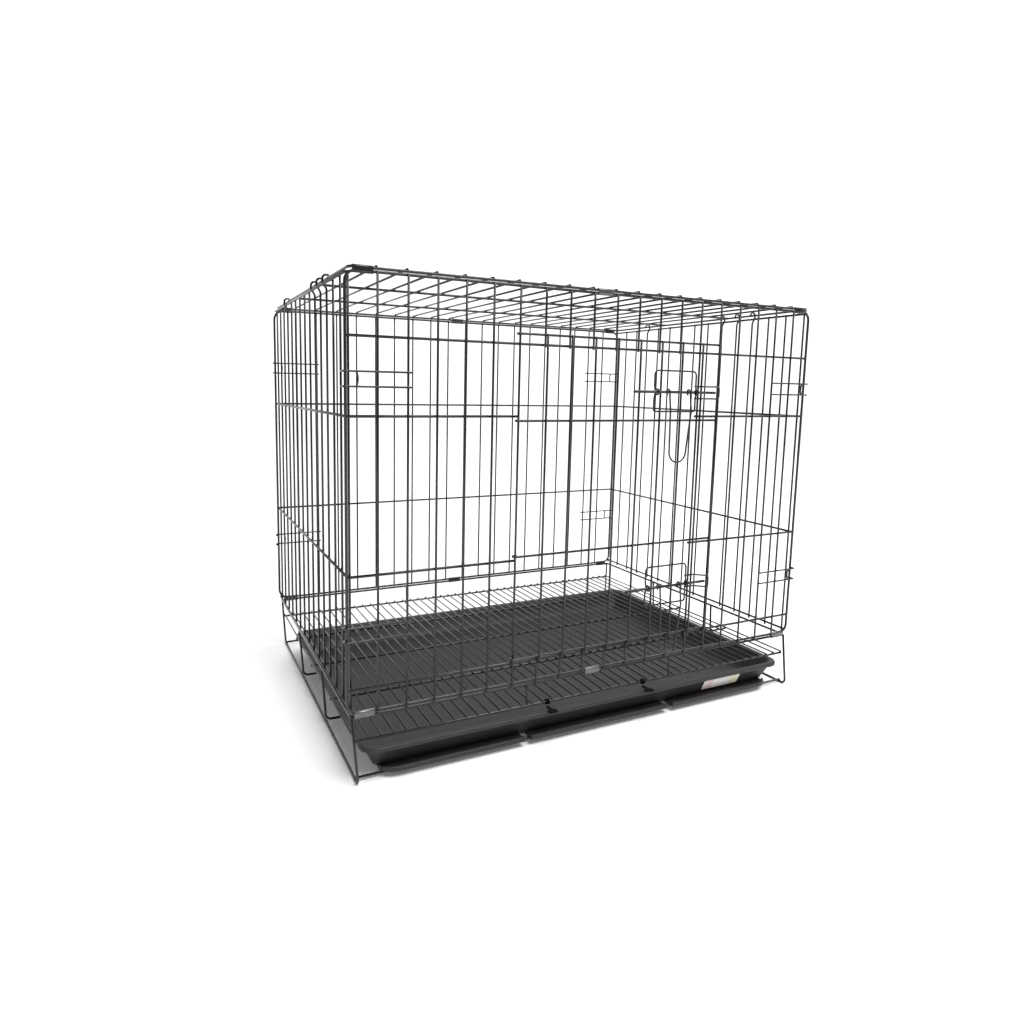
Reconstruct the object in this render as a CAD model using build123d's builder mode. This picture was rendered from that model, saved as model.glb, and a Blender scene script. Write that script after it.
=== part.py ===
"""Folding wire dog crate with a front door, two slide bolts and a slide-out tray.

Frame: millimetres, +Z up, +X along the long side, the door side faces -Y.
The origin is on the floor, under the middle of the whole crate's box.
Every wire is its own solid. Wires welded where they cross lie WELD apart.
"""
from build123d import *
import os

# ---------------------------------------------------------------- overall size
LENGTH = 600.0          # outside, over the two end panels
DEPTH = 416.0           # outside, over the front and back panels
HEIGHT = 502.0          # floor to the top of the roof wires
MIDDLE_Y = 7.0          # crate's middle: the bolt handles stand out at the front
WELD = 0.02             # gap left between two welded wires
PLAY = 0.35             # radial play of an eye on the wire it turns on

# ---------------------------------------------------------------- wire sizes
UPRIGHT_D = 2.4
EDGE_D = 3.2            # the four corner uprights of the front and back panels
RAIL_D = 2.8
RIM_D = 3.0
BASE_D = 2.8
GRID_D = 2.0
HOOK_D = 2.0
DOOR_RAIL_D = 2.6
POST_D = 3.5            # the door's closing post
EYE_D = 2.1
BOLT_D = 3.2

# ---------------------------------------------------------------- levels, from the floor
ROOF_Z = HEIGHT - UPRIGHT_D - RAIL_D / 2 - WELD
TOP_RAIL_Z = ROOF_Z - RAIL_D - 0.4
DOOR_HEAD_Z = 437.0     # rail over the doorway
MID_RAIL_Z = 363.0
LOW_RAIL_Z = 210.0
DOOR_SILL_Z = 97.0
FOOT_RAIL_Z = 73.0      # the panels' lowest rail
RIM_Z = FOOT_RAIL_Z - RAIL_D / 2 - RIM_D / 2 - 0.8
GRID_Z = 44.0
CROSS_Z = BASE_D * 1.5 + WELD

# ---------------------------------------------------------------- planes of the panels
PITCH = 29.85           # between uprights along X
FRONT_UPRIGHT_Y = MIDDLE_Y - DEPTH / 2 + UPRIGHT_D / 2
FRONT_RAIL_Y = FRONT_UPRIGHT_Y + UPRIGHT_D / 2 + WELD + RAIL_D / 2
FRONT_EDGE_Y = FRONT_UPRIGHT_Y - UPRIGHT_D / 2 + EDGE_D / 2
BACK_UPRIGHT_Y = 2 * MIDDLE_Y - FRONT_UPRIGHT_Y
BACK_RAIL_Y = 2 * MIDDLE_Y - FRONT_RAIL_Y
BACK_EDGE_Y = 2 * MIDDLE_Y - FRONT_EDGE_Y
EDGE_X = LENGTH / 2 - EDGE_D / 2
RAIL_END_X = EDGE_X - EDGE_D / 2 - WELD
END_X = LENGTH / 2 - 1.2 - RAIL_D - UPRIGHT_D / 2      # end panels' uprights, and their hinge axes
END_RAIL_X = END_X + UPRIGHT_D / 2 + WELD + RAIL_D / 2
END_HALF_Y = (BACK_RAIL_Y - FRONT_RAIL_Y) / 2 - RAIL_D / 2 - UPRIGHT_D / 2 - 0.8
END_COUNT = 15
END_PITCH = 2 * END_HALF_Y / (END_COUNT - 1)

# ---------------------------------------------------------------- doorway and door
HINGE_INDEX = -4        # upright that the door hangs on, counted from the middle
LATCH_INDEX = 4         # upright on the doorway's closing side
HINGE_X = HINGE_INDEX * PITCH
DOOR_RAIL_Y = FRONT_UPRIGHT_Y - UPRIGHT_D / 2 - PLAY - EYE_D / 2
DOOR_UPRIGHT_Y = DOOR_RAIL_Y - DOOR_RAIL_D / 2 - WELD - UPRIGHT_D / 2
POST_X = 145.0
POST_Y = DOOR_RAIL_Y - DOOR_RAIL_D / 2 - WELD - POST_D / 2
DOOR_RAIL_LEVELS = (101.5, 215.0, 358.5, 447.0)

# ---------------------------------------------------------------- slide bolts
LATCH_LEVELS = {"upper": 391.0, "lower": 164.0}
LATCH_LEFT_X, LATCH_RIGHT_X = 49.0, 109.0
GUIDE_INSET = 1.5
LOOP_RISE, LOOP_DROP = 24.0, 22.0
LOOP_Y = DOOR_UPRIGHT_Y - UPRIGHT_D / 2 - WELD - HOOK_D / 2
BOLT_Y = LOOP_Y - HOOK_D - 1.4
BOLT_START_X, BOLT_END_X = 18.0, 136.0
HANDLE_LEFT_X, HANDLE_RIGHT_X = 66.0, 96.0
HANDLE_LENGTH = 80.0
HANDLE_END_WIDTH = 24.0
HANDLE_KNEE_OUT = 5.5   # the legs pass in front of the latch frame's lower wire
HANDLE_KNEE_DROP = 22.0
HANDLE_BOW_OUT = 3.0
KEEPER_GAUGE = 14.0     # between a keeper's two legs, and a corner hook's
KEEPER_X = 138.9

# ---------------------------------------------------------------- corner hooks
HOOK_LEVELS_FRONT = (154.0, 397.5)
HOOK_LEVELS_BACK = (162.0, 414.0)
HOOK_INNER_X = 235.0
HOOK_OUTER_X = LENGTH / 2 + 1.2
HOOK_BEND = 2.0
HOOK_TIP = 9.0

# ---------------------------------------------------------------- tray
TRAY_X = -0.5
TRAY_WIDTH = 571.0
TRAY_DEPTH = 368.5
TRAY_FRONT_Y = MIDDLE_Y - 212.5
TRAY_Y = TRAY_FRONT_Y + TRAY_DEPTH / 2
TRAY_FLOOR_Z = 6.6
TRAY_TOP_Z = 35.5
TRAY_WALL = 2.2
TRAY_LIP_DROP = 5.0
TRAY_LEDGE = 4.5        # the rim's reach past the wall
WALL_LEAN = 12.0        # how far the wall leans in from the rim to the floor
TRAY_CORNER = 18.0
FOOT_REACH = 16.0       # flanges on the tray's underside, at the front and the back
FOOT_RISE = 5.0         # of their turned-up outer edge
FOOT_EDGE = 4.0
FOOT_GAP = 8.0
LABEL_X = 189.0
LABEL_LENGTH, LABEL_WIDTH = 60.0, 15.0

# ---------------------------------------------------------------- clips and catches
CLIP_LENGTH = 20.0
CLIP_SHEET = 0.9
CLIP_XS = (-9.45 * PITCH, -0.5 * PITCH, 9.45 * PITCH)
CATCH_XS = {"left": -73.2, "right": 59.9}
CATCH_REACH = 17.0


def wires_up(points, low, high, diameter):
    """Upright wires from z low to z high, at (x, y) points."""
    with BuildSketch(Plane.XY.offset(low)) as section:
        with Locations(*points):
            Circle(diameter / 2)
    extrude(section.sketch, amount=high - low)


def wires_along_x(points, left, right, diameter):
    """Wires from x left to x right, at (y, z) points."""
    with BuildSketch(Plane.YZ.offset(left)) as section:
        with Locations(*points):
            Circle(diameter / 2)
    extrude(section.sketch, amount=right - left)


def wires_along_y(points, front, back, diameter):
    """Wires from y front to y back, at (x, z) points."""
    with BuildSketch(Plane.XZ.offset(-front)) as section:
        with Locations(*points):
            Circle(diameter / 2)
    extrude(section.sketch, amount=front - back)


def bent_wire(points, radius, diameter):
    """One wire bent along points, with the same radius at each bend."""
    with BuildLine() as path:
        FilletPolyline(*points, radius=radius)
    with BuildSketch(Plane(origin=path.line @ 0, z_dir=path.line % 0)) as section:
        Circle(diameter / 2)
    sweep(section.sketch, path=path.line)


def eye(centre, direction, shaft_d):
    """A ring of EYE_D wire that turns on a shaft of diameter shaft_d."""
    with Locations(Plane(origin=centre, z_dir=direction)):
        Torus(shaft_d / 2 + PLAY + EYE_D / 2, EYE_D / 2)


def save(piece, label):
    """Label a finished sub-part and write its STEP file."""
    piece.part.label = label
    export_step(piece.part, f"parts/{label}.step")


os.makedirs("parts", exist_ok=True)
upright_xs = [index * PITCH for index in range(-9, 10)]
end_ys = [MIDDLE_Y - END_HALF_Y + index * END_PITCH for index in range(END_COUNT)]

# ---------------------------------------------------------------- base: runners, legs, cross wires, rim
with BuildPart() as base_runners:
    for side in (-1, 1):
        wires_along_y(
            [(side * END_X, BASE_D / 2)], FRONT_RAIL_Y - BASE_D / 2, BACK_RAIL_Y + BASE_D / 2, BASE_D
        )
save(base_runners, "base_runners")

with BuildPart() as base_legs:
    corners = [(side * END_X, y) for side in (-1, 1) for y in (FRONT_RAIL_Y, BACK_RAIL_Y)]
    wires_up(corners, BASE_D + WELD, RIM_Z - RIM_D / 2 - WELD, BASE_D)
save(base_legs, "base_legs")

cross_ys = [FRONT_RAIL_Y + step * (BACK_RAIL_Y - FRONT_RAIL_Y) / 3 for step in range(4)]
with BuildPart() as base_cross_wires:
    outer_x = END_X - BASE_D / 2 - WELD
    wires_along_x([(y, CROSS_Z) for y in (cross_ys[0], cross_ys[3])], -outer_x, outer_x, BASE_D)
    inner_x = END_X + BASE_D / 2
    wires_along_x([(y, CROSS_Z) for y in cross_ys[1:3]], -inner_x, inner_x, BASE_D)
    risers = [(side * END_X, y) for side in (-1, 1) for y in cross_ys[1:3]]
    wires_up(risers, CROSS_Z + BASE_D / 2 + WELD, RIM_Z - RIM_D / 2 - WELD, UPRIGHT_D)
save(base_cross_wires, "base_cross_wires")

with BuildPart() as base_rim:
    rim_end_x = END_X + RIM_D / 2
    wires_along_x([(FRONT_RAIL_Y, RIM_Z), (BACK_RAIL_Y, RIM_Z)], -rim_end_x, rim_end_x, RIM_D)
    side_end = RIM_D / 2 + WELD
    wires_along_y([(-END_X, RIM_Z), (END_X, RIM_Z)], FRONT_RAIL_Y + side_end, BACK_RAIL_Y - side_end, RIM_D)
save(base_rim, "base_rim")

# ---------------------------------------------------------------- floor grid over the tray, and its hangers
GRID_BAYS = 4
GRID_WIRES = 45
grid_half_x = END_X - BASE_D / 2 - WELD
grid_ys = [FRONT_RAIL_Y + bay * (BACK_RAIL_Y - FRONT_RAIL_Y) / GRID_BAYS for bay in range(GRID_BAYS + 1)]
grid_pitch = 2 * (grid_half_x - GRID_D) / (GRID_WIRES - 1)
with BuildPart() as floor_grid:
    wires_along_x([(y, GRID_Z) for y in grid_ys], -grid_half_x, grid_half_x, RAIL_D)
    slat_z = GRID_Z + RAIL_D / 2 + WELD + GRID_D / 2
    slats = [((index - GRID_WIRES // 2) * grid_pitch, slat_z) for index in range(GRID_WIRES)]
    wires_along_y(slats, FRONT_RAIL_Y - RAIL_D / 2, BACK_RAIL_Y + RAIL_D / 2, GRID_D)
save(floor_grid, "floor_grid")

HANGER_X = 7.5 * grid_pitch
with BuildPart() as grid_hangers:
    hangers = [(side * HANGER_X, y) for side in (-1, 1) for y in (FRONT_RAIL_Y, BACK_RAIL_Y)]
    wires_up(hangers, GRID_Z + RAIL_D / 2 + WELD, RIM_Z - RIM_D / 2 - WELD, UPRIGHT_D)
save(grid_hangers, "grid_hangers")

# ---------------------------------------------------------------- front panel, with the doorway left open
rail_cut = HINGE_X + UPRIGHT_D / 2
panel_foot = FOOT_RAIL_Z - RAIL_D / 2
panel_head = TOP_RAIL_Z + RAIL_D / 2
with BuildPart() as front_panel:
    edges = [(-EDGE_X, FRONT_EDGE_Y), (EDGE_X, FRONT_EDGE_Y)]
    wires_up(edges, panel_foot, panel_head, EDGE_D)
    side_xs = [x for x in upright_xs if abs(x) > abs(HINGE_X) - 1]
    wires_up([(x, FRONT_UPRIGHT_Y) for x in side_xs], panel_foot, panel_head, UPRIGHT_D)
    doorway_xs = [x for x in upright_xs if abs(x) < abs(HINGE_X) - 1]
    doorway_points = [(x, FRONT_UPRIGHT_Y) for x in doorway_xs]
    wires_up(doorway_points, panel_foot, DOOR_SILL_Z + RAIL_D / 2, UPRIGHT_D)
    wires_up(doorway_points, DOOR_HEAD_Z - RAIL_D / 2, panel_head, UPRIGHT_D)
    full_rails = (FOOT_RAIL_Z, DOOR_SILL_Z, DOOR_HEAD_Z, TOP_RAIL_Z)
    wires_along_x([(FRONT_RAIL_Y, z) for z in full_rails], -RAIL_END_X, RAIL_END_X, RAIL_D)
    short_rails = [(FRONT_RAIL_Y, z) for z in (LOW_RAIL_Z, MID_RAIL_Z)]
    wires_along_x(short_rails, -RAIL_END_X, rail_cut, RAIL_D)
    wires_along_x(short_rails, -rail_cut, RAIL_END_X, RAIL_D)
save(front_panel, "front_panel")

# ---------------------------------------------------------------- back panel
with BuildPart() as back_panel:
    wires_up([(-EDGE_X, BACK_EDGE_Y), (EDGE_X, BACK_EDGE_Y)], panel_foot, panel_head, EDGE_D)
    wires_up([(x, BACK_UPRIGHT_Y) for x in upright_xs], panel_foot, panel_head, UPRIGHT_D)
    back_rails = (FOOT_RAIL_Z, LOW_RAIL_Z, MID_RAIL_Z, TOP_RAIL_Z)
    wires_along_x([(BACK_RAIL_Y, z) for z in back_rails], -RAIL_END_X, RAIL_END_X, RAIL_D)
save(back_panel, "back_panel")

# ---------------------------------------------------------------- top panel
ROOF_BAYS = 3
with BuildPart() as top_panel:
    edge_reach = END_X + RAIL_D / 2
    wires_along_x([(FRONT_RAIL_Y, ROOF_Z), (BACK_RAIL_Y, ROOF_Z)], -edge_reach, edge_reach, RAIL_D)
    side_end = RAIL_D / 2 + WELD
    wires_along_y(
        [(-END_X, ROOF_Z), (END_X, ROOF_Z)], FRONT_RAIL_Y + side_end, BACK_RAIL_Y - side_end, RAIL_D
    )
    bay = (BACK_RAIL_Y - FRONT_RAIL_Y) / ROOF_BAYS
    inner_reach = END_X - RAIL_D / 2 - WELD
    inner_rails = [(FRONT_RAIL_Y + step * bay, ROOF_Z) for step in (1, 2)]
    wires_along_x(inner_rails, -inner_reach, inner_reach, RAIL_D)
    roof_wire_z = ROOF_Z + RAIL_D / 2 + WELD + UPRIGHT_D / 2
    roof_wires = [(x, roof_wire_z) for x in upright_xs]
    wires_along_y(roof_wires, FRONT_RAIL_Y - RAIL_D / 2, BACK_RAIL_Y + RAIL_D / 2, UPRIGHT_D)
save(top_panel, "top_panel")

# ---------------------------------------------------------------- end panels and the eyes they hang by
EYE_INDEXES = (3, 9, 10, 11)        # uprights, counted from the back, whose heads are eyes
eye_top = ROOF_Z - RAIL_D / 2 - PLAY - EYE_D
end_head_z = ROOF_Z - 4.6           # clears the eyes of the same panel
end_rail_levels = (FOOT_RAIL_Z + 3.0, LOW_RAIL_Z, MID_RAIL_Z, end_head_z)
for name, side in (("left", -1), ("right", 1)):
    with BuildPart() as end_panel:
        end_points = [(side * END_X, y) for y in end_ys]
        wires_up(end_points, FOOT_RAIL_Z, eye_top - WELD, UPRIGHT_D)
        rail_points = [(side * END_RAIL_X, z) for z in end_rail_levels]
        wires_along_y(rail_points, end_ys[0] - UPRIGHT_D / 2, end_ys[-1] + UPRIGHT_D / 2, RAIL_D)
    save(end_panel, f"{name}_end_panel")

    with BuildPart() as hinge_eyes:
        for index in EYE_INDEXES:
            eye((side * END_X, end_ys[END_COUNT - 1 - index], ROOF_Z), (0, 1, 0), RAIL_D)
    save(hinge_eyes, f"{name}_end_hinge_eyes")

# ---------------------------------------------------------------- corner hooks on the front and back panels
for name, upright_y, outward, levels in (
    ("front", FRONT_UPRIGHT_Y, -1, HOOK_LEVELS_FRONT),
    ("back", BACK_UPRIGHT_Y, 1, HOOK_LEVELS_BACK),
):
    hook_y = upright_y + outward * (UPRIGHT_D / 2 + WELD + HOOK_D / 2)
    with BuildPart() as corner_hooks:
        for side in (-1, 1):
            for level in levels:
                for leg_z in (level - KEEPER_GAUGE / 2, level + KEEPER_GAUGE / 2):
                    tip = (side * HOOK_OUTER_X, hook_y - outward * HOOK_TIP, leg_z)
                    start = (side * HOOK_INNER_X, hook_y, leg_z)
                    bent_wire([start, (side * HOOK_OUTER_X, hook_y, leg_z), tip], HOOK_BEND, HOOK_D)
                tie_rise = KEEPER_GAUGE / 2 - HOOK_D / 2 - WELD
                with BuildLine() as tie:
                    ThreePointArc(
                        (side * 295.0, hook_y, level - tie_rise),
                        (side * 289.0, hook_y, level),
                        (side * 295.0, hook_y, level + tie_rise),
                    )
                with BuildSketch(Plane(origin=tie.line @ 0, z_dir=tie.line % 0)):
                    Circle(HOOK_D / 2)
                sweep(path=tie.line)
    save(corner_hooks, f"{name}_corner_hooks")

# ---------------------------------------------------------------- sheet clips, the panels' hinges
clip_bore = RAIL_D + 0.6
for name, wire_y, opening, low_z, high_z in (
    ("front_bottom", FRONT_RAIL_Y, 1, RIM_Z, FOOT_RAIL_Z),
    ("back_bottom", BACK_RAIL_Y, -1, RIM_Z, FOOT_RAIL_Z),
    ("front_top", FRONT_RAIL_Y, 1, TOP_RAIL_Z, ROOF_Z),
    ("back_top", BACK_RAIL_Y, -1, TOP_RAIL_Z, ROOF_Z),
):
    spread = high_z - low_z
    with BuildPart() as clips:
        for x in CLIP_XS:
            with BuildSketch(Plane.YZ.offset(x - CLIP_LENGTH / 2)):
                with Locations((wire_y, (low_z + high_z) / 2)):
                    SlotCenterToCenter(spread, clip_bore + 2 * CLIP_SHEET, rotation=90)
                    SlotCenterToCenter(spread, clip_bore, rotation=90, mode=Mode.SUBTRACT)
                with Locations((wire_y + opening * clip_bore, (low_z + high_z) / 2)):
                    Rectangle(clip_bore * 1.6, spread * 0.7, mode=Mode.SUBTRACT)
                    # keeps clear of the end panels
                    Rectangle(clip_bore * 0.8, spread + 2 * clip_bore, mode=Mode.SUBTRACT)
            extrude(amount=CLIP_LENGTH)
    save(clips, f"{name}_clips")

# ---------------------------------------------------------------- door
with BuildPart() as door_panel:
    door_rails = [(DOOR_RAIL_Y, z) for z in DOOR_RAIL_LEVELS]
    rail_start_x = HINGE_X + UPRIGHT_D / 2 + PLAY + EYE_D
    wires_along_x(door_rails, rail_start_x, POST_X + POST_D / 2, DOOR_RAIL_D)
    door_points = [(HINGE_X + index * PITCH, DOOR_UPRIGHT_Y) for index in range(1, 9)]
    wires_up(door_points, DOOR_RAIL_LEVELS[0] - 5.0, DOOR_RAIL_LEVELS[-1] + DOOR_RAIL_D / 2, UPRIGHT_D)
save(door_panel, "door_panel")

with BuildPart() as door_post:
    wires_up([(POST_X, POST_Y)], DOOR_RAIL_LEVELS[0] - 1.5, DOOR_RAIL_LEVELS[-1] + 1.5, POST_D)
save(door_post, "door_closing_post")

with BuildPart() as door_eyes:
    for level in DOOR_RAIL_LEVELS:
        eye((HINGE_X, FRONT_UPRIGHT_Y, level), (0, 0, 1), UPRIGHT_D)
save(door_eyes, "door_hinge_eyes")

# ---------------------------------------------------------------- slide bolts with handles and keepers
for name, level in LATCH_LEVELS.items():
    guide_radius = BOLT_D / 2 + PLAY + EYE_D
    guide_left = LATCH_LEFT_X + GUIDE_INSET
    guide_right = LATCH_RIGHT_X - GUIDE_INSET
    with BuildPart() as latch_frame:
        for reach, corner in ((LOOP_RISE, 5.0), (-LOOP_DROP, 2.5)):
            start = level + (guide_radius + WELD if reach > 0 else -guide_radius - WELD)
            knee = start + reach * 0.12
            bent_wire(
                [
                    (guide_left, LOOP_Y, start),
                    (LATCH_LEFT_X, LOOP_Y, knee),
                    (LATCH_LEFT_X, LOOP_Y, level + reach),
                    (LATCH_RIGHT_X, LOOP_Y, level + reach),
                    (LATCH_RIGHT_X, LOOP_Y, knee),
                    (guide_right, LOOP_Y, start),
                ],
                [1.0, corner, corner, 1.0],
                HOOK_D,
            )
    save(latch_frame, f"{name}_latch_frame")

    with BuildPart() as bolt_guides:
        for x in (guide_left, guide_right):
            eye((x, BOLT_Y, level), (1, 0, 0), BOLT_D)
    save(bolt_guides, f"{name}_bolt_guides")

    with BuildPart() as bolt:
        wires_along_x([(BOLT_Y, level)], BOLT_START_X, BOLT_END_X, BOLT_D)
        chamfer(bolt.edges(), BOLT_D / 6)
    save(bolt, f"{name}_bolt")

    handle_root = level - BOLT_D / 2 - PLAY - EYE_D / 2
    handle_middle = (HANDLE_LEFT_X + HANDLE_RIGHT_X) / 2
    bow_left = handle_middle - HANDLE_END_WIDTH / 2
    bow_right = handle_middle + HANDLE_END_WIDTH / 2
    bow_y, bow_z = BOLT_Y - HANDLE_BOW_OUT, level - HANDLE_LENGTH
    knee_y, knee_z = BOLT_Y - HANDLE_KNEE_OUT, level - HANDLE_KNEE_DROP
    with BuildPart() as handle:
        bent_wire(
            [
                (HANDLE_LEFT_X, BOLT_Y, handle_root),
                (HANDLE_LEFT_X, knee_y, knee_z),
                (bow_left, bow_y, bow_z),
                (bow_right, bow_y, bow_z),
                (HANDLE_RIGHT_X, knee_y, knee_z),
                (HANDLE_RIGHT_X, BOLT_Y, handle_root),
            ],
            [8.0, 11.0, 11.0, 8.0],
            HOOK_D,
        )
        for x in (HANDLE_LEFT_X, HANDLE_RIGHT_X):
            eye((x, BOLT_Y, level), (1, 0, 0), BOLT_D)
    save(handle, f"{name}_bolt_handle")

    leg_y = FRONT_UPRIGHT_Y - UPRIGHT_D / 2 - WELD - HOOK_D / 2
    tie_y = BOLT_Y - BOLT_D / 2 - HOOK_D / 2 - 0.5
    half_gauge = KEEPER_GAUGE / 2
    with BuildPart() as keeper:
        bent_wire(
            [
                (112.0, leg_y, level + half_gauge),
                (126.0, leg_y, level + half_gauge),
                (KEEPER_X, tie_y, level + half_gauge),
                (KEEPER_X, tie_y, level - half_gauge),
                (126.0, leg_y, level - half_gauge),
                (112.0, leg_y, level - half_gauge),
            ],
            2.5,
            HOOK_D,
        )
    save(keeper, f"{name}_keeper")

# ---------------------------------------------------------------- tray
floor_width = TRAY_WIDTH - 2 * (TRAY_LEDGE + WALL_LEAN)
floor_depth = TRAY_DEPTH - 2 * (TRAY_LEDGE + WALL_LEAN)
mouth_width = TRAY_WIDTH - 2 * TRAY_LEDGE
mouth_depth = TRAY_DEPTH - 2 * TRAY_LEDGE
floor_corner = TRAY_CORNER - 10.0
mouth_corner = TRAY_CORNER - 4.0

with BuildPart() as tray:
    with BuildSketch(Plane.XY.offset(TRAY_FLOOR_Z)):
        with Locations((TRAY_X, TRAY_Y)):
            RectangleRounded(floor_width, floor_depth, floor_corner)
    with BuildSketch(Plane.XY.offset(TRAY_TOP_Z - TRAY_WALL)):
        with Locations((TRAY_X, TRAY_Y)):
            RectangleRounded(mouth_width, mouth_depth, mouth_corner)
    loft()
    with BuildSketch(Plane.XY.offset(TRAY_TOP_Z - TRAY_WALL)):
        with Locations((TRAY_X, TRAY_Y)):
            RectangleRounded(TRAY_WIDTH, TRAY_DEPTH, TRAY_CORNER)
    extrude(amount=TRAY_WALL)
    with BuildSketch(Plane.XY.offset(TRAY_TOP_Z - TRAY_LIP_DROP)):
        with Locations((TRAY_X, TRAY_Y)):
            RectangleRounded(TRAY_WIDTH, TRAY_DEPTH, TRAY_CORNER)
            lip_inside = TRAY_CORNER - TRAY_WALL
            RectangleRounded(
                TRAY_WIDTH - 2 * TRAY_WALL, TRAY_DEPTH - 2 * TRAY_WALL, lip_inside, mode=Mode.SUBTRACT
            )
    extrude(amount=TRAY_LIP_DROP)
    foot_front = TRAY_FRONT_Y + 0.5
    foot_half_depth = TRAY_Y - foot_front
    end_foot_x = (TRAY_WIDTH / 2 - 40.0 + HANGER_X + FOOT_GAP / 2) / 2
    end_foot_length = TRAY_WIDTH / 2 - 40.0 - HANGER_X - FOOT_GAP / 2
    for side in (-1, 1):
        for depth, rise in ((FOOT_REACH + TRAY_WALL, TRAY_WALL), (FOOT_EDGE, FOOT_RISE)):
            with BuildSketch(Plane.XY.offset(TRAY_FLOOR_Z)):
                with Locations((TRAY_X, TRAY_Y + side * (foot_half_depth - depth / 2))):
                    Rectangle(2 * HANGER_X - FOOT_GAP, depth)
                    with Locations((-end_foot_x, 0), (end_foot_x, 0)):
                        Rectangle(end_foot_length, depth)
            extrude(amount=rise)
    with BuildSketch(Plane.XY.offset(TRAY_FLOOR_Z + TRAY_WALL)):
        with Locations((TRAY_X, TRAY_Y)):
            RectangleRounded(
                floor_width - 2 * TRAY_WALL, floor_depth - 2 * TRAY_WALL, floor_corner - TRAY_WALL
            )
    with BuildSketch(Plane.XY.offset(TRAY_TOP_Z)):
        with Locations((TRAY_X, TRAY_Y)):
            RectangleRounded(
                mouth_width - 2 * TRAY_WALL, mouth_depth - 2 * TRAY_WALL, mouth_corner - TRAY_WALL
            )
    loft(mode=Mode.SUBTRACT)
save(tray, "tray")

with BuildPart() as tray_label:
    wall_top = Vector(0, TRAY_FRONT_Y + TRAY_LEDGE, TRAY_TOP_Z - TRAY_WALL)
    wall_foot = Vector(0, TRAY_FRONT_Y + TRAY_LEDGE + WALL_LEAN, TRAY_FLOOR_Z)
    slope = wall_top - wall_foot
    face_normal = Vector(1, 0, 0).cross(slope).normalized()
    label_middle = (wall_top + wall_foot) / 2 + Vector(LABEL_X, 0, 0) + face_normal * WELD
    with BuildSketch(Plane(origin=label_middle, x_dir=(1, 0, 0), z_dir=face_normal)):
        RectangleRounded(LABEL_LENGTH, LABEL_WIDTH, 2.0)
    extrude(amount=0.3)
save(tray_label, "tray_label")

# ---------------------------------------------------------------- catches over the tray's rim
for name, x in CATCH_XS.items():
    with BuildPart() as catch:
        with BuildSketch(Plane.YZ.offset(x - 2.5)):
            with Locations((FRONT_RAIL_Y, GRID_Z)):
                Circle(RAIL_D / 2 + PLAY + 1.4)
                Circle(RAIL_D / 2 + PLAY, mode=Mode.SUBTRACT)
        extrude(amount=5.0)
        blade_z = TRAY_TOP_Z + 2.2
        with BuildSketch(Plane.XY.offset(blade_z)):
            with BuildLine():
                Polyline(
                    (x - 1.6, FRONT_RAIL_Y - 1.0),
                    (x - 1.6, FRONT_RAIL_Y - CATCH_REACH * 0.55),
                    (x - 6.0, FRONT_RAIL_Y - CATCH_REACH * 0.70),
                    (x - 4.5, FRONT_RAIL_Y - CATCH_REACH),
                    (x + 4.5, FRONT_RAIL_Y - CATCH_REACH),
                    (x + 6.0, FRONT_RAIL_Y - CATCH_REACH * 0.70),
                    (x + 1.6, FRONT_RAIL_Y - CATCH_REACH * 0.55),
                    (x + 1.6, FRONT_RAIL_Y - 1.0),
                    close=True,
                )
            make_face()
        extrude(amount=1.6)
    save(catch, f"{name}_tray_catch")
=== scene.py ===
"""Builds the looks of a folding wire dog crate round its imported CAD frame.

Every part of the crate is bent from round steel wire with a black powder coat, apart from
the rolled steel clips, the pressed plastic tray, its paper label and the two tray catches.
"""
import math

import bmesh
import bpy
from bpy.props import FloatProperty, FloatVectorProperty, IntProperty, PointerProperty
from mathutils import Matrix, Vector


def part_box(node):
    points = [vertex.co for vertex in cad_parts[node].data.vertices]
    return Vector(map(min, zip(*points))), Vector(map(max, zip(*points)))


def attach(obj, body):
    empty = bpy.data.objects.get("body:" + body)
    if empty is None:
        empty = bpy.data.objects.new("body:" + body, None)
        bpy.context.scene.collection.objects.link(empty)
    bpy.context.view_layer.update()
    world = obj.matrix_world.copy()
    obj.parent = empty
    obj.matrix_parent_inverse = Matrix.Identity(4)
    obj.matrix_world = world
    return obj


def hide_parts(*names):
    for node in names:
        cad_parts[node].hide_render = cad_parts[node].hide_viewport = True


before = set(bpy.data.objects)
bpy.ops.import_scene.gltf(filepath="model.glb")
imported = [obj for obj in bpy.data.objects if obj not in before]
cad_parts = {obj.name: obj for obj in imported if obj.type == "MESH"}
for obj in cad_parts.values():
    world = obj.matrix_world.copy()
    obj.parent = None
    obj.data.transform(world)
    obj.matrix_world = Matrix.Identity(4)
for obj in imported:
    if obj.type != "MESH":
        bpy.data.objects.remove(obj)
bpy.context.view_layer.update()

bl_info = {
    "name": "Folding wire crate",
    "version": (1, 0, 0),
    "blender": (4, 5, 0),
    "location": "3D View > Sidebar > Crate",
    "description": "Bends the wires, rolls the clips and presses the tray of a folding wire crate",
    "category": "Add Mesh",
}

MM = 0.001

FOOT_LEAN = (4.8 * MM, 3.2 * MM)  # how far right of the rim's ends the left and right feet stand
CROSS_INSET = 3 * MM  # from the rim's front and back to the outer cross wires
SLATS = 45
END_UPRIGHTS = 15
HOOKED_UPRIGHTS = (3, 9, 10, 11)  # counted from the back
HOOK_GAUGE = 7 * MM  # from a hook pair's middle to each hook
CLIP_HALF = 10 * MM
CLIP_SHEET = 0.7 * MM
LATCH_WIRE = 2.1 * MM

# Half sizes of the beads where wires are welded, by which way the wires lie.
PANEL_BEAD = (0.0016, 0.0007, 0.0014)
END_BEAD = (0.0007, 0.0016, 0.0014)
SLAT_BEAD = (0.0014, 0.0016, 0.0007)
HOOK_BEAD = (0.0014, 0.0006, 0.0012)


# ------------------------------------------------------------------ sizes and colours

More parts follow.
